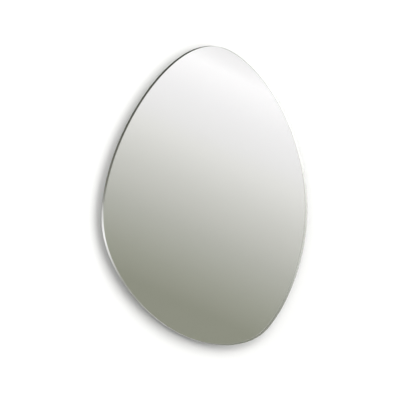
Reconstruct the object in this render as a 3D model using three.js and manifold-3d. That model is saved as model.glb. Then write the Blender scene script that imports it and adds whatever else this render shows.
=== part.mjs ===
// A frameless wall mirror with an irregular pebble outline, glued to a hidden panel that hangs on two keyhole
// plates. Millimetres.
//
// Every piece is drawn lying on its back: X is the viewer's right, Y is up the wall and Z is the distance from
// the wall. The last group stands the mirror up, so that +X stays the viewer's right, +Y runs into the wall and
// +Z is up. The wall is then the plane Y = 0, and the origin is midway between the two hanging points.

import * as THREE from "three";
import { mergeVertices } from "three/addons/utils/BufferGeometryUtils.js";
import Module from "manifold-3d";

const wasm = await Module();
wasm.setup();

// ---- Driving dimensions ----

// The pebble outline: an ellipse that swells and draws in around its edge. Each lobe repeats `count` times round
// the outline, moves the edge in and out by `swell`, and is fullest towards `facing`, in degrees from the right.
const WIDTH = 550;
const HEIGHT = 700;
const LOBES = [
  { count: 2, swell: 19.4, facing: 135 },
  { count: 3, swell: 12.5, facing: 70.8 },
  { count: 4, swell: 6, facing: 4.9 },
  { count: 5, swell: 0.7, facing: 49.7 },
  { count: 6, swell: 1.4, facing: 2.3 },
];
const OUTLINE_FACETS = 180;
const SHORTEST_FACET = 0.05;

// The glass and the layers on its back.
const GLASS_THICKNESS = 8;
const GLASS_ARRIS = 1; // the flat ground along both rims of the polished edge
const SILVER_THICKNESS = 0.25;
const PAINT_THICKNESS = 0.25;

// The glue line: upright tape strips with upright adhesive beads between them.
const GLUE_LINE = 1;
const STRIP_COUNT = 7; // tape and adhesive take turns, and tape comes first and last
const STRIP_SIDE_MARGIN = 80; // from the outermost strips' centres to the panel's sides
const TAPE_WIDTH = 20;
const BEAD_WIDTH = 14;
const STRIP_END_MARGIN = 22; // from a strip's end to the panel's edge

// The backing panel.
const PANEL_THICKNESS = 12;
const PANEL_INSET = 30; // how far the panel's edge hides behind the glass's edge
const PANEL_EASED_EDGE = 1.5;

// The keyhole plates, which the wall screws' heads pass through.
const HANG_RISE = 180; // the hanging points' height over the outline's centroid
const HANG_SPACING_STEP = 10; // the hanging points are a whole number of centimetres apart
const PLATE_SIDE_MARGIN = 35; // least distance from a plate's middle to the panel's edge
const PLATE_THICKNESS = 2;
const PLATE_WIDTH = 20;
const PLATE_CORNER = 5;
const PLATE_END_MARGIN = 8; // from a fixing hole's centre to the plate's end
const ENTRY_DIAMETER = 10;
const SLOT_WIDTH = 5;
const SLOT_DROP = 11; // from the hanging point down to the entry hole's centre
const FIXING_OFFSET = 13; // from the slot's top, and from the entry's centre, to the nearest fixing hole

// The pockets behind the keyholes.
const POCKET_WIDTH = 13;
const POCKET_DEPTH = 7;

// The countersunk screws that hold the plates.
const SCREW_LENGTH = 10;
const SCREW_SHANK = 3.5;
const SCREW_HEAD = 7;
const SCREW_HEAD_RIM = 0.4;
const SCREW_TIP = 3;
const RECESS_SPAN = 3.6; // the cross cut in the screw's head
const RECESS_SLOT = 0.9;
const RECESS_DEPTH = 1.2;

// The rubber bumpers between the panel and the wall.
const BUMPER_HEIGHT = 3;
const BUMPER_DIAMETER = 14;
const BUMPER_TAPER = 1; // how much smaller the radius is at the wall
const BUMPER_EDGE_MARGIN = 34; // from a bumper's centre to the panel's edge
const BUMPER_HEADINGS = [14, 166, 226, 308]; // as seen from the front, in degrees from the right

// Fits.
const SEAT_CLEARANCE = 0.25; // round a plate in its recess and a screw in its hole

// ---- Distances from the wall ----

const PANEL_BACK = BUMPER_HEIGHT;
const PANEL_FRONT = PANEL_BACK + PANEL_THICKNESS;
const PAINT_BACK = PANEL_FRONT + GLUE_LINE;
const SILVER_BACK = PAINT_BACK + PAINT_THICKNESS;
const GLASS_BACK = SILVER_BACK + SILVER_THICKNESS;

// ---- Materials ----

const finish = (color, roughness, metalness) =>
  new THREE.MeshStandardMaterial({ color, roughness, metalness });

const MATERIALS = {
  glass: () => finish(0x9fb0a8, 0.03, 0),
  silver: () => finish(0xe8e9e6, 0.02, 1),
  paint: () => finish(0x5c6163, 0.7, 0),
  tape: () => finish(0xe6e6e0, 0.9, 0),
  silicone: () => finish(0xcfd2cf, 0.5, 0),
  panel: () => finish(0x33322f, 0.75, 0),
  zinc: () => finish(0xb9bcc0, 0.35, 1),
  rubber: () => finish(0x232323, 0.85, 0),
};

// ---- The pebble outline ----

// How far the lobes move the edge out where it faces `heading`.
function swellTowards(heading) {
  return LOBES.reduce(
    (sum, { count, swell, facing }) =>
      sum + swell * Math.cos(count * (heading - THREE.MathUtils.degToRad(facing))),
    0,
  );
}

// Half the ellipse's size along `heading`, which leaves room for what the lobes add at both ends.
function halfAxis(size, heading) {
  return (size - swellTowards(heading) - swellTowards(heading + Math.PI)) / 2;
}

// The outline is the space inside a ring of lines that touch it, each with its normal and its distance from
// the middle. The same lines moved inwards give a parallel outline, so every layer follows the glass exactly.
const TOUCHING_LINES = Array.from({ length: OUTLINE_FACETS }, (_, i) => {
  const heading = (i * 2 * Math.PI) / OUTLINE_FACETS;
  const normal = new THREE.Vector2(Math.cos(heading), Math.sin(heading));
  const halfWidth = halfAxis(WIDTH, 0);
  const halfHeight = halfAxis(HEIGHT, Math.PI / 2);
  const ellipse = Math.hypot(halfWidth * normal.x, halfHeight * normal.y);
  return { normal, distance: ellipse + swellTowards(heading) };
});

// The corners that are left when all beyond one line is cut away.
function cutByLine(corners, normal, distance) {
  const kept = [];
  corners.forEach((here, i) => {
    const next = corners[(i + 1) % corners.length];
    const beyond = here.dot(normal) - distance;
    const nextBeyond = next.dot(normal) - distance;
    if (beyond <= 0) kept.push(here);
    if (beyond * nextBeyond < 0) kept.push(here.clone().lerp(next, beyond / (beyond - nextBeyond)));
  });
  return kept;
}

// The corners of the outline moved inwards by `inset`.
function outlineCorners(inset) {
  const far = WIDTH + HEIGHT;
  const blank = [
    new THREE.Vector2(-far, -far),
    new THREE.Vector2(far, -far),
    new THREE.Vector2(far, far),
    new THREE.Vector2(-far, far),
  ];
  const corners = TOUCHING_LINES.reduce(
    (left, { normal, distance }) => cutByLine(left, normal, distance - inset),
    blank,
  );
  return corners.filter((here, i) => here.distanceTo(corners.at(i - 1)) > SHORTEST_FACET);
}

// How far it is from `start` to the inset outline in `direction`.
function distanceToEdge(start, direction, inset) {
  const crossings = TOUCHING_LINES.filter(({ normal }) => normal.dot(direction) > 0).map(
    ({ normal, distance }) => (distance - inset - normal.dot(start)) / normal.dot(direction),
  );
  return Math.min(...crossings);
}

// The middle of the area inside the corners, where the mirror's weight lies.
function centroid(corners) {
  const middle = new THREE.Vector2();
  let area = 0;
  corners.forEach((here, i) => {
    const next = corners[(i + 1) % corners.length];
    const cross = here.cross(next);
    area += cross / 2;
    middle.addScaledVector(here, cross / 6).addScaledVector(next, cross / 6);
  });
  return middle.divideScalar(area);
}

const BALANCE = centroid(outlineCorners(0));
const HANG_LINE = BALANCE.y + HANG_RISE;

const RIGHT = new THREE.Vector2(1, 0);
const LEFT = new THREE.Vector2(-1, 0);
const UP = new THREE.Vector2(0, 1);
const DOWN = new THREE.Vector2(0, -1);

// Halfway between the outline's leftmost and rightmost points, which the lobes push apart from the middle.
const SHEET_MIDDLE = (swellTowards(0) - swellTowards(Math.PI)) / 2;

// ---- Shapes and solids ----

const ARC_STEPS = 10;
const TURN_STEPS = 28;

// Depths lie on a fine grid, so that faces that touch share the same depth to the last digit.
const DEPTH_GRID = 1 / 1024;

function onDepthGrid(geometry) {
  const position = geometry.getAttribute("position");
  for (let i = 0; i < position.count; i++) {
    position.setZ(i, Math.round(position.getZ(i) / DEPTH_GRID) * DEPTH_GRID);
  }
  return geometry;
}

// A flat sheet from `back` towards the viewer, with both rims cut off at 45 degrees by `eased`.
function sheet(shape, back, thickness, eased = 0) {
  const geometry = new THREE.ExtrudeGeometry(shape, {
    depth: thickness - 2 * eased,
    curveSegments: ARC_STEPS,
    bevelEnabled: eased > 0,
    bevelThickness: eased,
    bevelSize: eased,
    bevelOffset: -eased,
    bevelSegments: 1,
  });
  return onDepthGrid(geometry.translate(0, 0, back + eased));
}

// A turned piece on the axis through (x, y), from pairs of radius and distance from the wall.
function turned(profile, { x, y }) {
  const points = profile.map(([radius, depth]) => new THREE.Vector2(radius, depth));
  const geometry = new THREE.LatheGeometry(points, TURN_STEPS);
  return onDepthGrid(geometry.rotateX(Math.PI / 2).translate(x, y, 0));
}

// A rectangle with round corners, `up` above and `down` below the point (x, y).
function roundedShape({ x, y }, width, up, down, corner) {
  const left = x - width / 2;
  const right = x + width / 2;
  const top = y + up;
  const bottom = y - down;
  const shape = new THREE.Shape();
  shape.absarc(right - corner, bottom + corner, corner, -Math.PI / 2, 0);
  shape.absarc(right - corner, top - corner, corner, 0, Math.PI / 2);
  shape.absarc(left + corner, top - corner, corner, Math.PI / 2, Math.PI);
  shape.absarc(left + corner, bottom + corner, corner, Math.PI, 1.5 * Math.PI);
  return shape;
}

// A closed solid, made from a geometry's bare points.
function solidOf(geometry) {
  const bare = geometry.clone();
  bare.deleteAttribute("normal");
  bare.deleteAttribute("uv");
  const merged = mergeVertices(bare);
  return new wasm.Manifold(
    new wasm.Mesh({
      numProp: 3,
      vertProperties: merged.getAttribute("position").array,
      triVerts: new Uint32Array(merged.index.array),
    }),
  );
}

// What is left of `body` when the cutters are taken away.
function cut(body, cutters) {
  const left = cutters.reduce((solid, cutter) => solid.subtract(solidOf(cutter)), solidOf(body));
  const mesh = left.getMesh();
  const geometry = new THREE.BufferGeometry();
  geometry.setAttribute("position", new THREE.BufferAttribute(mesh.vertProperties, 3));
  geometry.setIndex(new THREE.BufferAttribute(mesh.triVerts, 1));
  geometry.computeVertexNormals();
  return onDepthGrid(geometry);
}

function piece(name, geometry, material) {
  const mesh = new THREE.Mesh(geometry, material());
  mesh.name = name;
  return mesh;
}

// ---- The glass and its coatings ----

function layer(inset, back, thickness, eased) {
  return sheet(new THREE.Shape(outlineCorners(inset)), back, thickness, eased);
}

function mirrorSheet() {
  return [
    piece("mirror_glass", layer(0, GLASS_BACK, GLASS_THICKNESS, GLASS_ARRIS), MATERIALS.glass),
    piece("silver_coating", layer(GLASS_ARRIS, SILVER_BACK, SILVER_THICKNESS), MATERIALS.silver),
    piece("backing_paint", layer(GLASS_ARRIS, PAINT_BACK, PAINT_THICKNESS), MATERIALS.paint),
  ];
}

// ---- The glue line ----

// An upright strip at `x`, as long as the panel lets it be.
function uprightStrip(x, width, corner) {
  const sides = [-width / 2, width / 2].map((offset) => new THREE.Vector2(x + offset, 0));
  const inset = PANEL_INSET + STRIP_END_MARGIN;
  const up = Math.min(...sides.map((side) => distanceToEdge(side, UP, inset)));
  const down = Math.min(...sides.map((side) => distanceToEdge(side, DOWN, inset)));
  return sheet(roundedShape({ x, y: 0 }, width, up, down, corner), PANEL_FRONT, GLUE_LINE);
}

function glueLine() {
  const outermost = WIDTH / 2 - PANEL_INSET - STRIP_SIDE_MARGIN;
  return Array.from({ length: STRIP_COUNT }, (_, i) => {
    const x = SHEET_MIDDLE + outermost * ((2 * i) / (STRIP_COUNT - 1) - 1);
    const number = Math.floor(i / 2) + 1;
    return i % 2 === 0
      ? piece(`tape_strip_${number}`, uprightStrip(x, TAPE_WIDTH, 1), MATERIALS.tape)
      : piece(`adhesive_bead_${number}`, uprightStrip(x, BEAD_WIDTH, BEAD_WIDTH / 2), MATERIALS.silicone);
  });
}

// ---- The keyhole plates and their screws ----

// The widest whole number of steps that keeps both plates' upper ends well inside the panel.
function hangSpacing() {
  const plateTop = new THREE.Vector2(BALANCE.x, HANG_LINE + FIXING_OFFSET + PLATE_END_MARGIN);
  const nearest = Math.min(...[LEFT, RIGHT].map((side) => distanceToEdge(plateTop, side, PANEL_INSET)));
  return Math.floor((2 * (nearest - PLATE_SIDE_MARGIN)) / HANG_SPACING_STEP) * HANG_SPACING_STEP;
}

const HANGERS = [
  { side: "left", x: BALANCE.x - hangSpacing() / 2, y: HANG_LINE },
  { side: "right", x: BALANCE.x + hangSpacing() / 2, y: HANG_LINE },
];

// The two fixing holes of a plate, over the slot and under the entry hole.
function fixings({ x, y }) {
  return [
    { place: "upper", x, y: y + FIXING_OFFSET },
    { place: "lower", x, y: y - SLOT_DROP - FIXING_OFFSET },
  ];
}

// A keyhole: a slot whose round top is the hanging point, over a round entry hole.
function keyholePath({ x, y }) {
  const slot = SLOT_WIDTH / 2;
  const entry = ENTRY_DIAMETER / 2;
  const shoulder = Math.acos(slot / entry);
  const path = new THREE.Path();
  path.absarc(x, y, slot, 0, Math.PI);
  path.absarc(x, y - SLOT_DROP, entry, Math.PI - shoulder, 2 * Math.PI + shoulder);
  return path;
}

// The plate's outline, or its recess in the panel when `clearance` is given.
function plateShape(hanger, clearance = 0) {
  const end = FIXING_OFFSET + PLATE_END_MARGIN + clearance;
  const width = PLATE_WIDTH + 2 * clearance;
  return roundedShape(hanger, width, end, SLOT_DROP + end, PLATE_CORNER + clearance);
}

// The depth of a screw's cone, whose sides lean at 45 degrees.
const HEAD_CONE = (SCREW_HEAD - SCREW_SHANK) / 2;

// A screw's outline from its head's flat to its tip, widened by `clearance` for the hole that it sits in.
function screwProfile(length, tip, clearance) {
  const rim = SCREW_HEAD / 2 + clearance;
  const shank = SCREW_SHANK / 2 + clearance;
  return [
    [0, PANEL_BACK],
    [rim, PANEL_BACK],
    [rim, PANEL_BACK + SCREW_HEAD_RIM],
    [shank, PANEL_BACK + SCREW_HEAD_RIM + HEAD_CONE],
    [shank, PANEL_BACK + length - tip],
    [0, PANEL_BACK + length],
  ];
}

// The hole that takes a screw, through the plate and on into the panel.
function screwHole(at) {
  return turned(screwProfile(SCREW_LENGTH + SEAT_CLEARANCE, SCREW_TIP, SEAT_CLEARANCE), at);
}

function plateScrew(at) {
  const body = turned(screwProfile(SCREW_LENGTH, SCREW_TIP, 0), at);
  const depth = 2 * RECESS_DEPTH;
  const recess = [
    new THREE.BoxGeometry(RECESS_SPAN, RECESS_SLOT, depth),
    new THREE.BoxGeometry(RECESS_SLOT, RECESS_SPAN, depth),
  ];
  return cut(
    body,
    recess.map((box) => box.translate(at.x, at.y, PANEL_BACK)),
  );
}

function keyholePlate(hanger) {
  const shape = plateShape(hanger);
  shape.holes.push(keyholePath(hanger));
  return cut(sheet(shape, PANEL_BACK, PLATE_THICKNESS), fixings(hanger).map(screwHole));
}

function hangingHardware() {
  return HANGERS.flatMap((hanger) => [
    piece(`keyhole_plate_${hanger.side}`, keyholePlate(hanger), MATERIALS.zinc),
    ...fixings(hanger).map((at) =>
      piece(`plate_screw_${hanger.side}_${at.place}`, plateScrew(at), MATERIALS.zinc),
    ),
  ]);
}

// ---- The backing panel ----

// The pocket where the wall screw's head slides from the entry hole up to the hanging point.
function headPocket(hanger) {
  const round = POCKET_WIDTH / 2;
  const shape = roundedShape(hanger, POCKET_WIDTH, round, SLOT_DROP + round, round);
  return sheet(shape, PANEL_BACK, PLATE_THICKNESS + POCKET_DEPTH);
}

function plateRecess(hanger) {
  return sheet(plateShape(hanger, SEAT_CLEARANCE), 0, PANEL_BACK + PLATE_THICKNESS);
}

function backingPanel() {
  const board = layer(PANEL_INSET, PANEL_BACK, PANEL_THICKNESS, PANEL_EASED_EDGE);
  const cutters = HANGERS.flatMap((hanger) => [
    plateRecess(hanger),
    headPocket(hanger),
    ...fixings(hanger).map(screwHole),
  ]);
  return piece("backing_panel", cut(board, cutters), MATERIALS.panel);
}

// ---- The wall bumpers ----

function bumperCentre(heading) {
  const direction = new THREE.Vector2(Math.cos(heading), Math.sin(heading));
  const distance = distanceToEdge(BALANCE, direction, PANEL_INSET + BUMPER_EDGE_MARGIN);
  return BALANCE.clone().addScaledVector(direction, distance);
}

function wallBumpers() {
  const base = BUMPER_DIAMETER / 2;
  const profile = [
    [0, 0],
    [base - BUMPER_TAPER, 0],
    [base, BUMPER_HEIGHT],
    [0, BUMPER_HEIGHT],
  ];
  return BUMPER_HEADINGS.map((heading, i) => {
    const centre = bumperCentre(THREE.MathUtils.degToRad(heading));
    return piece(`wall_bumper_${i + 1}`, turned(profile, centre), MATERIALS.rubber);
  });
}

// ---- The assembly ----

const lyingMirror = new THREE.Group();
lyingMirror.add(...mirrorSheet(), ...glueLine(), backingPanel(), ...hangingHardware(), ...wallBumpers());
lyingMirror.position.set(-BALANCE.x, -HANG_LINE, 0);

const mirror = new THREE.Group();
mirror.add(lyingMirror);
mirror.rotation.x = Math.PI / 2;

export default mirror;
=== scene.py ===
"""A frameless pebble-shaped wall mirror: polished glass on a painted MDF panel with two keyhole plates.

Metres. +X is the viewer's right, +Y runs into the wall and +Z is up. The wall is the plane Y = 0, and the
origin lies on it, midway between the two hanging points.
"""

import math

import bmesh
import bpy
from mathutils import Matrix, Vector


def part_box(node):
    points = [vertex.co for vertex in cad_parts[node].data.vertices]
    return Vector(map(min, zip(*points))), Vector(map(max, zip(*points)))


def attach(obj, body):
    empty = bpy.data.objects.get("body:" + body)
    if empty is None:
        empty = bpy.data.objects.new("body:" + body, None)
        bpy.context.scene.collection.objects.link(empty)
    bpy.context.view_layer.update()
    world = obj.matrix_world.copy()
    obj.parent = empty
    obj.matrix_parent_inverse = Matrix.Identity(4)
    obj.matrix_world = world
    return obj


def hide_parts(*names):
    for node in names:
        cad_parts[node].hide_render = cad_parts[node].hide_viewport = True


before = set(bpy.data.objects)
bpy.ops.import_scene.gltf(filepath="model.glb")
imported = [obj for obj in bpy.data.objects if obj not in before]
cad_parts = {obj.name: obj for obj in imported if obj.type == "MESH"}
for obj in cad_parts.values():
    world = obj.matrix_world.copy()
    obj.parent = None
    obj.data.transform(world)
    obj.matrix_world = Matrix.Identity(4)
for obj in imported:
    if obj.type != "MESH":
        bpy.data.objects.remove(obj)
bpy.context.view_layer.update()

MM = 0.001

# ---- Sizes that the frame gives ----

GLASS_LOW, GLASS_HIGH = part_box("mirror_glass")
SILVER_LOW, SILVER_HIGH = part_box("silver_coating")
PAINT_LOW, PAINT_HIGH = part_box("backing_paint")
PANEL_LOW, PANEL_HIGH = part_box("backing_panel")
WIDTH = GLASS_HIGH.x - GLASS_LOW.x
HEIGHT = GLASS_HIGH.z - GLASS_LOW.z
PANEL_INSET = PANEL_LOW.x - GLASS_LOW.x

# ---- The pebble outline ----

# The outline is an ellipse that swells and draws in around its edge. Each lobe has how often it repeats round
# the outline, how far it moves the edge, and the heading in degrees that it is fullest towards.
LOBES = (
    (2, 19.4 * MM, 135),
    (3, 12.5 * MM, 70.8),
    (4, 6 * MM, 4.9),
    (5, 0.7 * MM, 49.7),
    (6, 1.4 * MM, 2.3),
)
OUTLINE_STEPS = 480


def swell(heading):
    """How far the lobes move the edge out where it faces this heading, and how fast that changes."""
    out = slope = 0
    for count, size, facing in LOBES:
        angle = count * (heading - math.radians(facing))
        out += size * math.cos(angle)
        slope -= size * count * math.sin(angle)
    return out, slope


def half_axis(size, heading):
    """Half the ellipse's size along a heading, which leaves room for what the lobes add at both ends."""
    return (size - swell(heading)[0] - swell(heading + math.pi)[0]) / 2


HALF_WIDTH = half_axis(WIDTH, 0)
HALF_HEIGHT = half_axis(HEIGHT, math.pi / 2)
MIDDLE = (GLASS_HIGH.x - HALF_WIDTH - swell(0)[0], GLASS_HIGH.z - HALF_HEIGHT - swell(math.pi / 2)[0])


def pebble(inset):
    """Points (x, z) of the outline moved inwards by inset, in order round the mirror."""
    points = []
    for i in range(OUTLINE_STEPS):
        heading = 2 * math.pi * i / OUTLINE_STEPS
        right, up = math.cos(heading), math.sin(heading)
        lobes, lobes_slope = swell(heading)
        ellipse = math.hypot(HALF_WIDTH * right, HALF_HEIGHT * up)
        reach = ellipse + lobes - inset
        slope = (HALF_HEIGHT**2 - HALF_WIDTH**2) * right * up / ellipse + lobes_slope
        points.append((MIDDLE[0] + reach * right - slope * up, MIDDLE[1] + reach * up + slope * right))
    return points


# ---- Other outlines, as points (x, z) in order ----

CORNER_STEPS = 10
TURN_STEPS = 48


def arc(centre, radius, start, end, steps):
    angles = [math.radians(start + (end - start) * i / steps) for i in range(steps + 1)]
    return [(centre[0] + radius * math.cos(a), centre[1] + radius * math.sin(a)) for a in angles]


def circle(centre, radius):
    return arc(centre, radius, 0, 360, TURN_STEPS)[:-1]


def rounded_box(low, high, corner, inset=0):
    """A rectangle with round corners between two corners of a node's box, moved inwards by inset."""
    radius = corner - inset
    left, right = low.x + corner, high.x - corner
    bottom, top = low.z + corner, high.z - corner
    return [
        *arc((right, bottom), radius, -90, 0, CORNER_STEPS),
        *arc((right, top), radius, 0, 90, CORNER_STEPS),
        *arc((left, top), radius, 90, 180, CORNER_STEPS),
        *arc((left, bottom), radius, 180, 270, CORNER_STEPS),
    ]


# ---- Mesh tools ----

SHARP_ANGLE = math.radians(28)


def ring(mesh, points, y):
    return [mesh.verts.new((x, y, z)) for x, z in points]


def side(mesh, rings, material=0):
    """A smooth wall through rings that have equal numbers of points."""
    for near, far in zip(rings, rings[1:]):
        for i, corner in enumerate(near):
            face = mesh.faces.new((corner, near[i - 1], far[i - 1], far[i]))
            face.material_index = material


def flat(mesh, rim, holes=(), material=0):
    """A flat face inside a ring, with other rings left out of it."""
    if holes:
        edges = [mesh.edges.get((v, r[i - 1])) for r in (rim, *holes) for i, v in enumerate(r)]
        made = bmesh.ops.triangle_fill(mesh, use_beauty=True, edges=edges)["geom"]
        faces = [g for g in made if isinstance(g, bmesh.types.BMFace)]
    else:
        faces = [mesh.faces.new(rim)]
    for face in faces:
        face.select = True  # tells finished() which faces are flat
        face.material_index = material


def finished(name, mesh):
    """The piece made from a closed mesh. Flat faces stay flat and gentle bends are smooth."""
    bmesh.ops.recalc_face_normals(mesh, faces=mesh.faces)
    for edge in mesh.edges:
        first, second = edge.link_faces
        edge.smooth = first.select == second.select and edge.calc_face_angle() < SHARP_ANGLE
    for face in mesh.faces:
        face.smooth = True
    data = bpy.data.meshes.new(name)
    mesh.to_mesh(data)
    mesh.free()
    piece = bpy.data.objects.new(name, data)
    bpy.context.scene.collection.objects.link(piece)
    return piece


def stacked(name, outline, profile):
    """A closed sheet. The profile's pairs of inset and depth run from its front face to its back face."""
    mesh = bmesh.new()
    rings = [ring(mesh, outline(inset), y) for inset, y in profile]
    side(mesh, rings)
    flat(mesh, rings[0])
    flat(mesh, rings[-1])
    return finished(name, mesh)


def rounded_rims(radius, front, back, steps, inset=0, back_radius=None):
    """A sheet's profile from front to back, with both rims rounded."""
    turns = [math.pi / 2 * i / steps for i in range(steps + 1)]
    curve = [(1 - math.sin(a), 1 - math.cos(a)) for a in turns]
    far = radius if back_radius is None else back_radius
    near = [(inset + radius * i, front + radius * y) for i, y in curve]
    return near + [(inset + far * i, back - far * y) for i, y in reversed(curve)]


def stand_for(piece, slot, nodes, *materials):
    """Shows a piece in place of its nodes, in these materials."""
    for material in materials:
        piece.data.materials.append(material)
    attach(piece, "root")
    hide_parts(*nodes)


# ---- Effects that materials share ----

# The part of the noise's range that each effect spreads over its own range.
PATCH_NOISE = (0.35, 0.65)
SHEEN_NOISE = (0.3, 0.7)


def new_effect(name, inputs, output):
    """An empty node group, with the nodes that hold its inputs and its one output."""
    group = bpy.data.node_groups.new(name, "ShaderNodeTree")
    for label, kind, value in inputs:
        socket = group.interface.new_socket(label, in_out="INPUT", socket_type=kind)
        if value is not None:
            socket.default_value = value
    group.interface.new_socket(output[0], in_out="OUTPUT", socket_type=output[1])
    return group, group.nodes.new("NodeGroupInput"), group.nodes.new("NodeGroupOutput")


def make_grain():
    """Small soft bumps, such as those a roller or a spray gun leaves in paint."""
    group, given, result = new_effect(
        "surface_grain",
        (
            ("Place", "NodeSocketVector", None),
            ("Scale", "NodeSocketFloat", 1000),
            ("Detail", "NodeSocketFloat", 3),
        ),
        ("Height", "NodeSocketFloat"),
    )
    noise = group.nodes.new("ShaderNodeTexNoise")
    noise.inputs["Roughness"].default_value = 0.55
    group.links.new(given.outputs["Place"], noise.inputs["Vector"])
    group.links.new(given.outputs["Scale"], noise.inputs["Scale"])
    group.links.new(given.outputs["Detail"], noise.inputs["Detail"])
    group.links.new(noise.outputs["Fac"], result.inputs["Height"])
    return group


def make_patches():
    """Two tones of one colour in soft patches."""
    group, given, result = new_effect(
        "soft_patches",
        (
            ("Place", "NodeSocketVector", None),
            ("Scale", "NodeSocketFloat", 60),
            ("First Tone", "NodeSocketColor", (1, 1, 1, 1)),
            ("Second Tone", "NodeSocketColor", (1, 1, 1, 1)),
        ),
        ("Color", "NodeSocketColor"),
    )
    noise = group.nodes.new("ShaderNodeTexNoise")
    noise.inputs["Detail"].default_value = 4
    share = group.nodes.new("ShaderNodeMapRange")
    share.interpolation_type = "SMOOTHSTEP"
    share.inputs["From Min"].default_value, share.inputs["From Max"].default_value = PATCH_NOISE
    mix = group.nodes.new("ShaderNodeMix")
    mix.data_type = "RGBA"
    group.links.new(given.outputs["Place"], noise.inputs["Vector"])
    group.links.new(given.outputs["Scale"], noise.inputs["Scale"])
    group.links.new(noise.outputs["Fac"], share.inputs["Value"])
    group.links.new(share.outputs["Result"], mix.inputs["Factor"])
    group.links.new(given.outputs["First Tone"], mix.inputs["A"])
    group.links.new(given.outputs["Second Tone"], mix.inputs["B"])
    group.links.new(mix.outputs["Result"], result.inputs["Color"])
    return group


def make_sheen():
    """A roughness that drifts between two values, as on a surface that has been handled."""
    group, given, result = new_effect(
        "uneven_sheen",
        (
            ("Place", "NodeSocketVector", None),
            ("Scale", "NodeSocketFloat", 40),
            ("Lowest", "NodeSocketFloat", 0.4),
            ("Highest", "NodeSocketFloat", 0.6),
        ),
        ("Roughness", "NodeSocketFloat"),
    )
    noise = group.nodes.new("ShaderNodeTexNoise")
    noise.inputs["Detail"].default_value = 5
    share = group.nodes.new("ShaderNodeMapRange")
    share.inputs["From Min"].default_value, share.inputs["From Max"].default_value = SHEEN_NOISE
    group.links.new(given.outputs["Place"], noise.inputs["Vector"])
    group.links.new(given.outputs["Scale"], noise.inputs["Scale"])
    group.links.new(noise.outputs["Fac"], share.inputs["Value"])
    group.links.new(given.outputs["Lowest"], share.inputs["To Min"])
    group.links.new(given.outputs["Highest"], share.inputs["To Max"])
    group.links.new(share.outputs["Result"], result.inputs["Roughness"])
    return group


# ---- Node tools ----


def add_share(tree, source, start, end):
    """A soft step from 0 to 1 between two values."""
    step = tree.nodes.new("ShaderNodeMapRange")
    step.interpolation_type = "SMOOTHSTEP"
    step.inputs["From Min"].default_value = start
    step.inputs["From Max"].default_value = end
    tree.links.new(source, step.inputs["Value"])
    return step.outputs["Result"]


def add_product(tree, first, second):
    product = tree.nodes.new("ShaderNodeMath")
    product.operation = "MULTIPLY"
    tree.links.new(first, product.inputs[0])
    tree.links.new(second, product.inputs[1])
    return product.outputs[0]


def add_blend(tree, share, first, second):
    """A colour that runs from the first to the second. Each is a colour or another node's output."""
    blend = tree.nodes.new("ShaderNodeMix")
    blend.data_type = "RGBA"
    tree.links.new(share, blend.inputs["Factor"])
    for label, colour in (("A", first), ("B", second)):
        if isinstance(colour, tuple):
            blend.inputs[label].default_value = colour
        else:
            tree.links.new(colour, blend.inputs[label])
    return blend.outputs["Result"]


def ramp_of(tree, stops, low, high):
    """A colour ramp over a range of values, fed through a node that turns the value into a share."""
    spread = tree.nodes.new("ShaderNodeMapRange")
    spread.inputs["From Min"].default_value = low
    spread.inputs["From Max"].default_value = high
    ramp = tree.nodes.new("ShaderNodeValToRGB")
    elements = ramp.color_ramp.elements
    for i, (value, colour) in enumerate(stops):
        share = (value - low) / (high - low)
        stop = elements[i] if i < 2 else elements.new(share)
        stop.position = share
        stop.color = (*colour, 1)
    tree.links.new(spread.outputs["Result"], ramp.inputs["Fac"])
    return spread.inputs["Value"], ramp.outputs["Color"]


# ---- Materials ----

GRAIN, PATCHES, SHEEN = make_grain(), make_patches(), make_sheen()


def blank_material(name):
    """A new material, with its node tree, its shader and the coordinates of a point on the piece."""
    material = bpy.data.materials.new(name)
    material.use_nodes = True
    tree = material.node_tree
    place = tree.nodes.new("ShaderNodeTexCoord").outputs["Object"]
    return material, tree, tree.nodes["Principled BSDF"], place


def add_effect(tree, group, place, **values):
    node = tree.nodes.new("ShaderNodeGroup")
    node.node_tree = group
    tree.links.new(place, node.inputs["Place"])
    for label, value in values.items():
        node.inputs[label.replace("_", " ")].default_value = value
    return node.outputs[0]


def add_bump(tree, shader, height, distance):
    bump = tree.nodes.new("ShaderNodeBump")
    bump.inputs["Distance"].default_value = distance
    tree.links.new(height, bump.inputs["Height"])
    tree.links.new(bump.outputs["Normal"], shader.inputs["Normal"])


def add_tones(tree, shader, place, scale, tones):
    """Gives a shader two tones in patches."""
    first, second = ((*tone, 1) for tone in tones)
    tone = add_effect(tree, PATCHES, place, Scale=scale, First_Tone=first, Second_Tone=second)
    tree.links.new(tone, shader.inputs["Base Color"])


def coated(name, finish):
    """An opaque material in one of the finishes below."""
    material, tree, shader, place = blank_material(name)
    add_tones(tree, shader, place, finish["patch_scale"], finish["tones"])
    lowest, highest = finish["roughness"]
    roughness = add_effect(tree, SHEEN, place, Scale=finish["sheen_scale"], Lowest=lowest, Highest=highest)
    grain = add_effect(tree, GRAIN, place, Scale=finish["grain_scale"])
    tree.links.new(roughness, shader.inputs["Roughness"])
    add_bump(tree, shader, grain, finish["grain_height"])
    return material, shader


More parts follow.
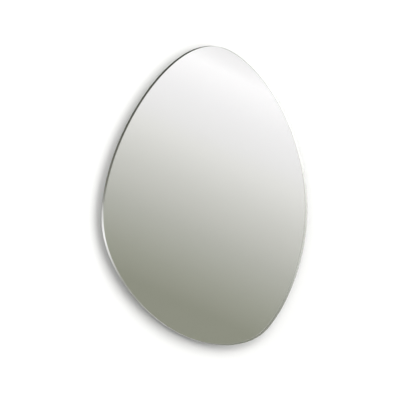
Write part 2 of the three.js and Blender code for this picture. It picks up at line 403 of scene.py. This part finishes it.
# The opaque finishes: two tones in patches, a range of roughness that drifts, and a grain of small bumps. A
# scale is roughly how many features lie along a metre.
PAINT_FINISH = dict(
    tones=((0.118, 0.12, 0.115), (0.134, 0.136, 0.13)), patch_scale=25,
    roughness=(0.5, 0.66), sheen_scale=30, grain_scale=900, grain_height=0.06 * MM,
)
BOARD_FINISH = dict(
    tones=((0.035, 0.033, 0.03), (0.038, 0.036, 0.033)), patch_scale=60,
    roughness=(0.6, 0.78), sheen_scale=20, grain_scale=700, grain_height=0.09 * MM,
)
RAW_BOARD_FINISH = dict(
    tones=((0.33, 0.22, 0.13), (0.24, 0.155, 0.09)), patch_scale=900,
    roughness=(0.8, 0.95), sheen_scale=300, grain_scale=2400, grain_height=0.12 * MM,
)
TAPE_FINISH = dict(
    tones=((0.78, 0.78, 0.74), (0.7, 0.7, 0.66)), patch_scale=1500,
    roughness=(0.8, 0.95), sheen_scale=500, grain_scale=3000, grain_height=0.1 * MM,
)
SILICONE_FINISH = dict(
    tones=((0.62, 0.63, 0.62), (0.57, 0.585, 0.575)), patch_scale=120,
    roughness=(0.34, 0.5), sheen_scale=90, grain_scale=450, grain_height=0.05 * MM,
)
ZINC_FINISH = dict(
    tones=((0.62, 0.63, 0.645), (0.53, 0.54, 0.555)), patch_scale=260,
    roughness=(0.24, 0.42), sheen_scale=160, grain_scale=2600, grain_height=0.012 * MM,
)
RUBBER_FINISH = dict(
    tones=((0.02, 0.02, 0.02), (0.028, 0.028, 0.027)), patch_scale=200,
    roughness=(0.62, 0.82), sheen_scale=150, grain_scale=1800, grain_height=0.03 * MM,
)
SILVER_TONES = ((0.971, 0.966, 0.951), (0.969, 0.964, 0.949))
SILVER_TONE_SCALE = 8

# Painted glow on the sheet's near edge, an emission that stands in for light entering the far edge, running
# through the sheet and leaving by the near one: how bright the painted glow is, by how far up the near edge
# faces.
PAINTED_EDGE_GLOW = (
    (-0.64, (0.13, 0.135, 0.11)),
    (-0.5, (0.23, 0.235, 0.21)),
    (-0.34, (0.6, 0.6, 0.585)),
    (-0.17, (0.9, 0.9, 0.89)),
    (-0.04, (0.75, 0.75, 0.74)),
    (0.07, (0.6, 0.6, 0.58)),
    (0.15, (0.3, 0.305, 0.28)),
    (0.26, (0.18, 0.184, 0.155)),
    (0.5, (0.11, 0.113, 0.095)),
    (0.7, (0.09, 0.093, 0.078)),
    (0.9, (0.025, 0.026, 0.02)),
)
GLASS_IOR = 1.52
CLEAR_TINT = (0.965, 0.975, 0.96, 1)
# The colour of the painted shade on the edge where it faces up.
PAINTED_EDGE_SHADE = (0.05, 0.053, 0.04, 1)
# How far up a face of the edge points where its painted shade starts, and where it is full.
PAINTED_SHADE_RISE = (0.05, 0.3)
# The parts of a face's direction that tell the left and lower edge from the rest of the sheet. Each has where
# the edge's painted glow and painted shade fade in and where they are full.
PAINTED_EDGE_LIMITS = (("Y", 0.5, 0.2), ("Y", -0.5, -0.2), ("X", 0.3, -0.1))


def clear_glass():
    """Glass whose polished edge has a painted shade where it faces up and a painted glow where it faces left
    and down.
    """
    material, tree, shader, _ = blank_material("clear_glass")
    shader.inputs["Roughness"].default_value = 0
    shader.inputs["IOR"].default_value = GLASS_IOR
    shader.inputs["Transmission Weight"].default_value = 1
    # The emission is the edge's painted glow, not a lamp.
    shader.inputs["Emission Strength"].default_value = 1
    surface = tree.nodes.new("ShaderNodeNewGeometry")
    parts = tree.nodes.new("ShaderNodeSeparateXYZ")
    tree.links.new(surface.outputs["Normal"], parts.inputs[0])
    # The mask for the painted glow and painted shade: outward faces of the edge that point sideways and to
    # the left.
    edge = add_share(tree, surface.outputs["Backfacing"], 1, 0)
    for part, start, end in PAINTED_EDGE_LIMITS:
        edge = add_product(tree, edge, add_share(tree, parts.outputs[part], start, end))
    value, painted_glow = ramp_of(tree, PAINTED_EDGE_GLOW, -1, 1)
    tree.links.new(parts.outputs["Z"], value)
    tree.links.new(add_blend(tree, edge, (0, 0, 0, 1), painted_glow), shader.inputs["Emission Color"])
    # Painted shade: the edge's colour darkens where it faces up.
    painted_shade_mask = add_product(tree, edge, add_share(tree, parts.outputs["Z"], *PAINTED_SHADE_RISE))
    tree.links.new(add_blend(tree, painted_shade_mask, CLEAR_TINT, PAINTED_EDGE_SHADE), shader.inputs["Base Color"])
    return material


def silver():
    material, tree, shader, place = blank_material("silver")
    add_tones(tree, shader, place, SILVER_TONE_SCALE, SILVER_TONES)
    shader.inputs["Metallic"].default_value = 1
    shader.inputs["Roughness"].default_value = 0
    return material


def silicone():
    material, shader = coated("silicone", SILICONE_FINISH)
    shader.inputs["Subsurface Weight"].default_value = 0.3
    shader.inputs["Subsurface Scale"].default_value = 1 * MM
    return material


def zinc_steel(name):
    material, shader = coated(name, ZINC_FINISH)
    shader.inputs["Metallic"].default_value = 1
    return material


# ---- The mirror sheet ----

FRONT_RIM_RADIUS = 0.6 * MM
BACK_RIM_RADIUS = 0.3 * MM
RIM_STEPS = 8
SILVER_GAP = 0.02 * MM


def make_mirror_sheet():
    front, back = GLASS_LOW.y, GLASS_HIGH.y
    profile = rounded_rims(FRONT_RIM_RADIUS, front, back, RIM_STEPS, back_radius=BACK_RIM_RADIUS)
    glass = stacked("polished_glass", pebble, profile)
    stand_for(glass, "clear_glass", ["mirror_glass"], clear_glass())
    paint, _ = coated("backing_paint", PAINT_FINISH)
    coats = (
        ("silver_layer", "silver", "silver_coating", SILVER_LOW.y, SILVER_HIGH.y, silver()),
        ("paint_layer", "backing_paint", "backing_paint", PAINT_LOW.y, PAINT_HIGH.y, paint),
    )
    for name, slot, node, front, back, material in coats:
        coat = stacked(name, pebble, [(BACK_RIM_RADIUS, front + SILVER_GAP), (BACK_RIM_RADIUS, back)])
        stand_for(coat, slot, [node], material)


# ---- The glue line ----

TAPE_COUNT = 4
TAPE_CORNER = 1 * MM
TAPE_EASED_EDGE = 0.08 * MM
TAPE_EDGE_STEPS = 3
BEAD_COUNT = 3
BEAD_BULGE = 0.35 * MM
BEAD_EDGE_STEPS = 5
BEAD_WAVER = 0.5 * MM
# The waver's length, how far it shifts from one bead to the next, and how much faster its second wave runs.
WAVER_LENGTH = 35 * MM
WAVER_SHIFT = 900
WAVER_OVERTONE = 2.3
STRIP_SIDE_STEPS = 160


def make_tape(number, material):
    node = f"tape_strip_{number}"
    low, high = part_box(node)
    tape = stacked(
        f"foam_tape_{number}",
        lambda inset: rounded_box(low, high, TAPE_CORNER, inset),
        rounded_rims(TAPE_EASED_EDGE, low.y, high.y, TAPE_EDGE_STEPS),
    )
    stand_for(tape, "foam_tape", [node], material)


def bead_outline(low, high, inset):
    """A bead's round-ended outline, whose sides waver where the nozzle slowed and sped up."""
    radius = (high.x - low.x) / 2
    middle = (low.x + high.x) / 2
    bottom, top = low.z + radius, high.z - radius

    def waver(z, sign):
        turn = z * 2 * math.pi / WAVER_LENGTH + middle * WAVER_SHIFT + sign
        fade = min(1, (z - bottom) / radius, (top - z) / radius)
        return BEAD_WAVER * fade * (2 + math.sin(turn) + math.sin(turn * WAVER_OVERTONE + 1)) / 2

    steps = range(1, STRIP_SIDE_STEPS)
    levels = [bottom + (top - bottom) * i / STRIP_SIDE_STEPS for i in steps]
    right = [(middle + radius - inset - waver(z, 1), z) for z in levels]
    left = [(middle - radius + inset + waver(z, -1), z) for z in reversed(levels)]
    upper = arc((middle, top), radius - inset, 0, 180, TURN_STEPS // 2)
    lower = arc((middle, bottom), radius - inset, 180, 360, TURN_STEPS // 2)
    return [*right, *upper, *left, *lower]


def make_bead(number, material):
    node = f"adhesive_bead_{number}"
    low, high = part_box(node)
    bead = stacked(
        f"silicone_bead_{number}",
        lambda inset: bead_outline(low, high, inset),
        rounded_rims(BEAD_BULGE, low.y, high.y, BEAD_EDGE_STEPS),
    )
    stand_for(bead, "silicone", [node], material)


def make_glue_line():
    tape, _ = coated("foam_tape", TAPE_FINISH)
    bead = silicone()
    for number in range(1, TAPE_COUNT + 1):
        make_tape(number, tape)
    for number in range(1, BEAD_COUNT + 1):
        make_bead(number, bead)


# ---- The hangers ----

SIDES = ("left", "right")
PLACES = ("upper", "lower")
PLATE_CORNER = 5 * MM
PLATE_EASED_EDGE = 0.3 * MM
PLATE_EDGE_STEPS = 5
SLOT_WIDTH = 5 * MM
ENTRY_DIAMETER = 10 * MM
SLOT_DROP = 11 * MM
POCKET_WIDTH = 13 * MM
POCKET_DEPTH = 7 * MM
SEAT_CLEARANCE = 0.25 * MM
SCREW_SHANK = 3.5 * MM
SCREW_HEAD_RIM = 0.4 * MM
SCREW_TIP = 3 * MM
SCREW_POINT = 0.1 * MM


def middle_of(low, high):
    return ((low.x + high.x) / 2, (low.z + high.z) / 2)


def keyhole(x, grow):
    """A slot whose round top is the hanging point, over a round entry hole, moved outwards by grow."""
    slot = SLOT_WIDTH / 2 + grow
    entry = ENTRY_DIAMETER / 2 + grow
    shoulder = math.degrees(math.acos(slot / entry))
    top = arc((x, 0), slot, 0, 180, TURN_STEPS // 2)
    return top + arc((x, -SLOT_DROP), entry, 180 - shoulder, 360 + shoulder, TURN_STEPS)


def screw_hole_radius(screw_head, depth):
    """The radius of a countersunk hole at a depth under the board's rear face."""
    rim = screw_head / 2 + SEAT_CLEARANCE
    shank = SCREW_SHANK / 2 + SEAT_CLEARANCE
    return max(shank, rim - max(0, depth - SCREW_HEAD_RIM))


def make_plate(side_name, material):
    node = f"keyhole_plate_{side_name}"
    low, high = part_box(node)
    x = middle_of(low, high)[0]
    front, back = low.y, high.y
    mesh = bmesh.new()
    rims = rounded_rims(PLATE_EASED_EDGE, front, back, PLATE_EDGE_STEPS)
    outer = [ring(mesh, rounded_box(low, high, PLATE_CORNER, inset), y) for inset, y in rims]
    keyholes = [ring(mesh, keyhole(x, inset), y) for inset, y in rims]
    side(mesh, outer)
    side(mesh, keyholes)
    holes = [keyholes]
    for place in PLACES:
        screw_low, screw_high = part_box(f"plate_screw_{side_name}_{place}")
        head = screw_high.x - screw_low.x
        depths = (back - front, SCREW_HEAD_RIM, 0)
        levels = [(screw_hole_radius(head, depth), back - depth) for depth in depths]
        centre = middle_of(screw_low, screw_high)
        rings = [ring(mesh, circle(centre, radius), y) for radius, y in levels]
        side(mesh, rings)
        holes.append(rings)
    flat(mesh, outer[0], [rings[0] for rings in holes])
    flat(mesh, outer[-1], [rings[-1] for rings in holes])
    stand_for(finished(f"keyhole_hanger_{side_name}", mesh), "zinc_steel", [node], material)


# ---- The screws ----

THREAD_PITCH = 1.4 * MM
THREAD_DEPTH = 0.5 * MM
THREAD_STEPS = 12
THREAD_FLANK = 0.3  # how much of the pitch each flank of the thread takes up
HEAD_EASED_EDGE = 0.1 * MM
RECESS_SPAN = 3.6 * MM
RECESS_SLOT = 0.9 * MM
RECESS_DEPTH = 1.2 * MM
RECESS_TAPER = 0.3 * MM


def cross(centre, grow):
    """A cross recess's outline, moved outwards by grow."""
    span = RECESS_SPAN / 2 + grow
    slot = RECESS_SLOT / 2 + grow
    points = []
    for right, up in ((1, 0), (0, 1), (-1, 0), (0, -1)):
        for x, z in ((span, slot), (slot, slot), (slot, span)):
            points.append((centre[0] + right * x - up * z, centre[1] + up * x + right * z))
    return points


def threaded(centre, depth, length):
    """The shank's outline at a depth under the head's flat, where one thread winds round it."""
    crest = SCREW_SHANK / 2
    points = []
    taper = min(1, (length - depth) / SCREW_TIP)
    for i, (x, z) in enumerate(circle((0, 0), 1)):
        turn = depth / THREAD_PITCH - i / TURN_STEPS
        rise = max(0, 1 - abs(turn % 1 - 0.5) / THREAD_FLANK)
        radius = taper * (crest - THREAD_DEPTH * (1 - rise))
        points.append((centre[0] + radius * x, centre[1] + radius * z))
    return points


def make_screw(side_name, place, material):
    node = f"plate_screw_{side_name}_{place}"
    low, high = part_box(node)
    centre = middle_of(low, high)
    head = (high.x - low.x) / 2
    length = high.y - low.y
    neck = SCREW_HEAD_RIM + head - SCREW_SHANK / 2
    mesh = bmesh.new()
    rings = [
        ring(mesh, circle(centre, head - HEAD_EASED_EDGE), high.y),
        ring(mesh, circle(centre, head), high.y - HEAD_EASED_EDGE),
        ring(mesh, circle(centre, head), high.y - SCREW_HEAD_RIM),
        ring(mesh, circle(centre, SCREW_SHANK / 2), high.y - neck),
    ]
    steps = round((length - neck) / THREAD_PITCH * THREAD_STEPS)
    for i in range(1, steps):
        depth = neck + (length - neck) * i / steps
        rings.append(ring(mesh, threaded(centre, depth, length), high.y - depth))
    rings.append(ring(mesh, circle(centre, SCREW_POINT), low.y))
    side(mesh, rings)
    flat(mesh, rings[-1])
    recess = [
        ring(mesh, cross(centre, HEAD_EASED_EDGE), high.y),
        ring(mesh, cross(centre, 0), high.y - HEAD_EASED_EDGE),
        ring(mesh, cross(centre, -RECESS_TAPER), high.y - RECESS_DEPTH),
    ]
    side(mesh, recess)
    flat(mesh, rings[0], [recess[0]])
    flat(mesh, recess[-1])
    stand_for(finished(f"hanger_screw_{side_name}_{place}", mesh), "screw_steel", [node], material)


def make_hangers():
    plate, screw = zinc_steel("zinc_steel"), zinc_steel("screw_steel")
    for side_name in SIDES:
        make_plate(side_name, plate)
        for place in PLACES:
            make_screw(side_name, place, screw)


# ---- The panel ----

PANEL_EDGE_RADIUS = 1.5 * MM
PANEL_EDGE_STEPS = 6
RAW = 1  # the place of the unpainted board among the panel's materials


def cut_recess(mesh, side_name):
    """Lets one plate into the panel, with its pocket and its screw holes. Returns the recess's rim."""
    plate_low, plate_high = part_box(f"keyhole_plate_{side_name}")
    slack = Vector((SEAT_CLEARANCE, 0, SEAT_CLEARANCE))
    x = middle_of(plate_low, plate_high)[0]
    back, floor = plate_high.y, plate_low.y
    outline = rounded_box(plate_low - slack, plate_high + slack, PLATE_CORNER + SEAT_CLEARANCE)
    recess = [ring(mesh, outline, back), ring(mesh, outline, floor)]
    side(mesh, recess, RAW)
    round_end = POCKET_WIDTH / 2
    pocket_low = Vector((x - round_end, 0, -SLOT_DROP - round_end))
    pocket_high = Vector((x + round_end, 0, round_end))
    pocket_outline = rounded_box(pocket_low, pocket_high, round_end)
    pocket = [ring(mesh, pocket_outline, floor), ring(mesh, pocket_outline, floor - POCKET_DEPTH)]
    side(mesh, pocket, RAW)
    flat(mesh, pocket[-1], material=RAW)
    holes = [pocket[0]]
    for place in PLACES:
        low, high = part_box(f"plate_screw_{side_name}_{place}")
        centre = middle_of(low, high)
        head = high.x - low.x
        start = back - floor
        end = high.y - low.y + SEAT_CLEARANCE
        neck = SCREW_HEAD_RIM + (head - SCREW_SHANK) / 2
        levels = [(screw_hole_radius(head, depth), depth) for depth in (start, neck, end - SCREW_TIP)]
        levels.append((SCREW_POINT, end))
        rings = [ring(mesh, circle(centre, radius), back - depth) for radius, depth in levels]
        side(mesh, rings, RAW)
        flat(mesh, rings[-1], material=RAW)
        holes.append(rings[0])
    flat(mesh, recess[-1], holes, RAW)
    return recess[0]


def make_panel():
    mesh = bmesh.new()
    profile = rounded_rims(PANEL_EDGE_RADIUS, PANEL_LOW.y, PANEL_HIGH.y, PANEL_EDGE_STEPS, PANEL_INSET)
    rings = [ring(mesh, pebble(inset), y) for inset, y in profile]
    side(mesh, rings)
    flat(mesh, rings[0])
    flat(mesh, rings[-1], [cut_recess(mesh, side_name) for side_name in SIDES])
    board, _ = coated("painted_board", BOARD_FINISH)
    raw_board, _ = coated("raw_board", RAW_BOARD_FINISH)
    stand_for(finished("painted_panel", mesh), "painted_board", ["backing_panel"], board, raw_board)


# ---- The bumpers ----

BUMPER_COUNT = 4
BUMPER_TAPER = 1 * MM
BUMPER_ROUNDING = 0.7 * MM
BUMPER_ROUND_STEPS = 7
BUMPER_BASE_EDGE = 0.15 * MM


def make_bumper(number, material):
    node = f"wall_bumper_{number}"
    low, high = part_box(node)
    centre = middle_of(low, high)
    base = (high.x - low.x) / 2
    end = base - BUMPER_TAPER
    mesh = bmesh.new()
    levels = [(base - BUMPER_BASE_EDGE, low.y), (base, low.y + BUMPER_BASE_EDGE)]
    for i in range(BUMPER_ROUND_STEPS + 1):
        turn = math.pi / 2 * i / BUMPER_ROUND_STEPS
        drop = BUMPER_ROUNDING * (1 - math.sin(turn))
        levels.append((end - BUMPER_ROUNDING * (1 - math.cos(turn)), high.y - drop))
    rings = [ring(mesh, circle(centre, radius), y) for radius, y in levels]
    side(mesh, rings)
    flat(mesh, rings[0])
    flat(mesh, rings[-1])
    stand_for(finished(f"rubber_bumper_{number}", mesh), "bumper_rubber", [node], material)


def make_bumpers():
    material, _ = coated("bumper_rubber", RUBBER_FINISH)
    for number in range(1, BUMPER_COUNT + 1):
        make_bumper(number, material)


# ---- Camera ----

VIEW_AZIMUTH = -34
VIEW_ELEVATION = 13.2
VIEW_DISTANCE = 2.6
LENS = 104.1
SHIFT = (-0.0389, 0.0128)
FACE_MIDDLE = Vector((MIDDLE[0], GLASS_LOW.y, MIDDLE[1]))


def direction(azimuth, elevation):
    """The unit vector that points back from the mirror towards a viewer at this azimuth and elevation."""
    a, e = math.radians(azimuth), math.radians(elevation)
    return Vector((math.sin(a) * math.cos(e), -math.cos(a) * math.cos(e), math.sin(e)))


def aim(thing, azimuth, elevation, distance):
    """Places a camera or a light so that it faces the middle of the mirror."""
    back = direction(azimuth, elevation)
    thing.location = FACE_MIDDLE + back * distance
    thing.rotation_mode = "QUATERNION"
    thing.rotation_quaternion = (-back).to_track_quat("-Z", "Y")
    bpy.context.scene.collection.objects.link(thing)


def make_camera():
    data = bpy.data.cameras.new("camera")
    data.lens = LENS
    data.shift_x, data.shift_y = SHIFT
    camera = bpy.data.objects.new("camera", data)
    aim(camera, VIEW_AZIMUTH, VIEW_ELEVATION, VIEW_DISTANCE)
    bpy.context.scene.camera = camera


# ---- Studio ----

WALL_HALF_WIDTH = 3
WALL_HALF_HEIGHT = 2.5
WALL_TONES = ((0.8, 0.8, 0.788), (0.797, 0.797, 0.785))
WALL_TONE_SCALE = 3
WALL_GRAIN_SCALE = 500
WALL_GRAIN_HEIGHT = 0.01 * MM
# A shiny surface shows the wall in full from the first distance on, and not at all within the second.
SHINE_REACH = (64 * MM, 32 * MM)


def make_wall():
    """The pale wall behind the mirror, which is see-through from behind and to shiny surfaces close to it."""
    corners = [(-1, -1), (1, -1), (1, 1), (-1, 1)]
    mesh = bmesh.new()
    mesh.faces.new([mesh.verts.new((x * WALL_HALF_WIDTH, 0, z * WALL_HALF_HEIGHT)) for x, z in corners])
    data = bpy.data.meshes.new("studio_wall")
    mesh.to_mesh(data)
    mesh.free()
    wall = bpy.data.objects.new("studio_wall", data)
    bpy.context.scene.collection.objects.link(wall)
    material, tree, shader, place = blank_material("studio_wall")
    add_tones(tree, shader, place, WALL_TONE_SCALE, WALL_TONES)
    add_bump(tree, shader, add_effect(tree, GRAIN, place, Scale=WALL_GRAIN_SCALE), WALL_GRAIN_HEIGHT)
    shader.inputs["Roughness"].default_value = 1
    shader.inputs["Specular IOR Level"].default_value = 0
    see_through = tree.nodes.new("ShaderNodeBsdfTransparent")
    mix = tree.nodes.new("ShaderNodeMixShader")
    geometry = tree.nodes.new("ShaderNodeNewGeometry")
    path = tree.nodes.new("ShaderNodeLightPath")
    near = add_share(tree, path.outputs["Ray Length"], *SHINE_REACH)
    hidden = tree.nodes.new("ShaderNodeMath")
    hidden.operation = "MAXIMUM"
    tree.links.new(geometry.outputs["Backfacing"], hidden.inputs[0])
    tree.links.new(add_product(tree, path.outputs["Is Glossy Ray"], near), hidden.inputs[1])
    tree.links.new(hidden.outputs[0], mix.inputs["Fac"])
    tree.links.new(shader.outputs[0], mix.inputs[1])
    tree.links.new(see_through.outputs[0], mix.inputs[2])
    tree.links.new(mix.outputs[0], tree.nodes["Material Output"].inputs["Surface"])
    data.materials.append(material)
    return wall


# The softboxes in front of the mirror: the azimuth and elevation that they stand at, their size and power.
SOFTBOXES = (
    ("overhead_softbox", 2.4, 52, (13.5, 4.85), 815),
    ("right_softbox", 29, 10.2, (10.1, 14.5), 1195),
    ("left_softbox", -67.8, 35.6, (11.9, 2.75), 1270),
)
SOFTBOX_DISTANCE = 12
REAR_AZIMUTH = 205
REAR_ELEVATION = 35
REAR_DISTANCE = 2.5
REAR_SIZE = (2.5, 1.5)
# The power of those behind it, and whether they light the mirror sheet or everything behind the sheet.
REAR_SOFTBOXES = (("sheet_softbox", 35, True), ("hanger_softbox", 110, False))
SHEET_PIECES = ("polished_glass", "silver_layer", "paint_layer")


def make_softbox(name, size, power):
    data = bpy.data.lights.new(name, "AREA")
    data.shape = "RECTANGLE"
    data.size, data.size_y = size
    data.energy = power
    light = bpy.data.objects.new(name, data)
    light.visible_camera = False
    light.visible_glossy = False
    light.visible_transmission = False
    return light


def make_lights(wall):
    """Softboxes in front of the mirror, and two behind the wall that only light the mirror's back."""
    for name, azimuth, elevation, size, power in SOFTBOXES:
        aim(make_softbox(name, size, power), azimuth, elevation, SOFTBOX_DISTANCE)
    pieces = [piece for piece in bpy.context.scene.objects if piece.type == "MESH" and piece != wall]
    blocking = bpy.data.collections.new("mirror_pieces")
    for piece in pieces:
        blocking.objects.link(piece)
    for name, power, on_sheet in REAR_SOFTBOXES:
        rear = make_softbox(name, REAR_SIZE, power)
        aim(rear, REAR_AZIMUTH, REAR_ELEVATION, REAR_DISTANCE)
        lit = bpy.data.collections.new(f"lit_by_{name}")
        for piece in pieces:
            if (piece.name in SHEET_PIECES) == on_sheet:
                lit.objects.link(piece)
        rear.light_linking.receiver_collection = lit
        rear.light_linking.blocker_collection = blocking


AMBIENT = 0.3  # the strength of the even light from all round

# The studio's colour as the mirror shows it: the axis that it changes along, and its stops along that.
SKY_AXIS = Vector((0.4578, 0.0775, 0.8857))
SKY_RANGE = (-0.3, 0.3)
SKY_STOPS = (
    (-0.104, (0.271, 0.280, 0.224)),
    (-0.079, (0.339, 0.349, 0.293)),
    (-0.047, (0.443, 0.451, 0.405)),
    (-0.008, (0.601, 0.607, 0.568)),
    (0.023, (0.748, 0.751, 0.721)),
    (0.038, (0.80, 0.802, 0.792)),
    (0.062, (0.871, 0.871, 0.871)),
    (0.0915, (0.995, 0.995, 0.995)),
    (0.101, (0.909, 0.909, 0.909)),
    (0.109, (0.85, 0.85, 0.85)),
)
# What is left of the light on its way in through the glass, off the silver and out again.
SHEET_LOSS = (0.903, 0.9215, 0.879)


def one_colour(colour):
    return ((-1, colour), (1, colour))


# The rest of the studio, which the sheet's edge shows, and its face to a viewer in front of it. These zones
# are laid over the gradient one after another. A zone has its bounds and its stops by height. A bound is a
# part of the direction, where the zone fades in and where it is full.
ZONES = (
    ((("Z", -0.342, -0.358),), one_colour((1.3, 1.3, 1.3))),
    ((("Z", -0.09, 0),), one_colour((0.28, 0.29, 0.24))),
    (
        (("X", 0.43, 0.33),),
        (
            (-0.55, (1.4, 1.4, 1.4)),
            (-0.4, (1.02, 1.02, 1.02)),
            (-0.13, (0.76, 0.76, 0.74)),
            (0.18, (0.65, 0.655, 0.63)),
            (0.43, (0.38, 0.385, 0.35)),
            (0.58, (0.3, 0.305, 0.27)),
        ),
    ),
    (
        (("X", 0.63, 0.72),),
        (
            (-0.27, (0.135, 0.14, 0.115)),
            (-0.23, (1, 1, 1)),
            (-0.08, (1, 1, 1)),
            (-0.02, (0.35, 0.355, 0.34)),
        ),
    ),
    (
        (("Y", -0.88, -0.94),),
        (
            (-0.16, (0.34, 0.35, 0.3)),
            (-0.06, (0.56, 0.565, 0.53)),
            (0.04, (0.82, 0.82, 0.81)),
            (0.11, (1.05, 1.05, 1.05)),
            (0.16, (0.92, 0.92, 0.92)),
        ),
    ),
    (
        (("Y", 0.3, 0.5),),
        (
            (-0.6, (0.42, 0.42, 0.41)),
            (-0.5, (0.5, 0.5, 0.49)),
            (-0.43, (0.85, 0.85, 0.84)),
            (-0.3, (0.6, 0.6, 0.59)),
            (-0.2, (0.48, 0.48, 0.47)),
            (0, (0.28, 0.285, 0.26)),
            (0.1, (0.1, 0.103, 0.085)),
            (0.6, (0.04, 0.042, 0.034)),
        ),
    ),
    ((("Y", 0.3, 0.5), ("X", 0.56, 0.64)), one_colour((1.1, 1.1, 1.1))),
)


def add_studio_colour(tree):
    """The studio's colour by direction: the gradient, with the zones over it."""
    place = tree.nodes.new("ShaderNodeTexCoord").outputs["Generated"]
    along = tree.nodes.new("ShaderNodeVectorMath")
    along.operation = "DOT_PRODUCT"
    along.inputs[1].default_value = SKY_AXIS
    tree.links.new(place, along.inputs[0])
    stops = [(v, tuple(c / loss for c, loss in zip(colour, SHEET_LOSS))) for v, colour in SKY_STOPS]
    value, colour = ramp_of(tree, stops, *SKY_RANGE)
    tree.links.new(along.outputs["Value"], value)
    parts = tree.nodes.new("ShaderNodeSeparateXYZ")
    tree.links.new(place, parts.inputs[0])
    for bounds, stops in ZONES:
        height, zone_colour = ramp_of(tree, stops, -1, 1)
        tree.links.new(parts.outputs["Z"], height)
        shares = [add_share(tree, parts.outputs[part], start, end) for part, start, end in bounds]
        share = shares[0] if len(shares) == 1 else add_product(tree, *shares)
        colour = add_blend(tree, share, colour, zone_colour)
    return colour


def make_world():
    """The studio round the mirror. Only shiny surfaces show it. Everything else gets an even light."""
    world = bpy.data.worlds.new("studio")
    bpy.context.scene.world = world
    world.use_nodes = True
    tree = world.node_tree
    nodes, links = tree.nodes, tree.links
    nodes.clear()
    output = nodes.new("ShaderNodeOutputWorld")
    seen = nodes.new("ShaderNodeBackground")
    links.new(add_studio_colour(tree), seen.inputs["Color"])
    ambient = nodes.new("ShaderNodeBackground")
    ambient.inputs["Color"].default_value = (1, 1, 1, 1)
    ambient.inputs["Strength"].default_value = AMBIENT
    path = nodes.new("ShaderNodeLightPath")
    either = nodes.new("ShaderNodeMath")
    either.operation = "MAXIMUM"
    mix = nodes.new("ShaderNodeMixShader")
    links.new(path.outputs["Is Glossy Ray"], either.inputs[0])
    links.new(path.outputs["Is Transmission Ray"], either.inputs[1])
    links.new(either.outputs[0], mix.inputs["Fac"])
    links.new(ambient.outputs[0], mix.inputs[1])
    links.new(seen.outputs[0], mix.inputs[2])
    links.new(mix.outputs[0], output.inputs["Surface"])


# ---- The whole scene ----

make_mirror_sheet()
make_glue_line()
make_panel()
make_hangers()
make_bumpers()
make_camera()
make_lights(make_wall())
make_world()
bpy.context.scene.view_settings.view_transform = "Standard"
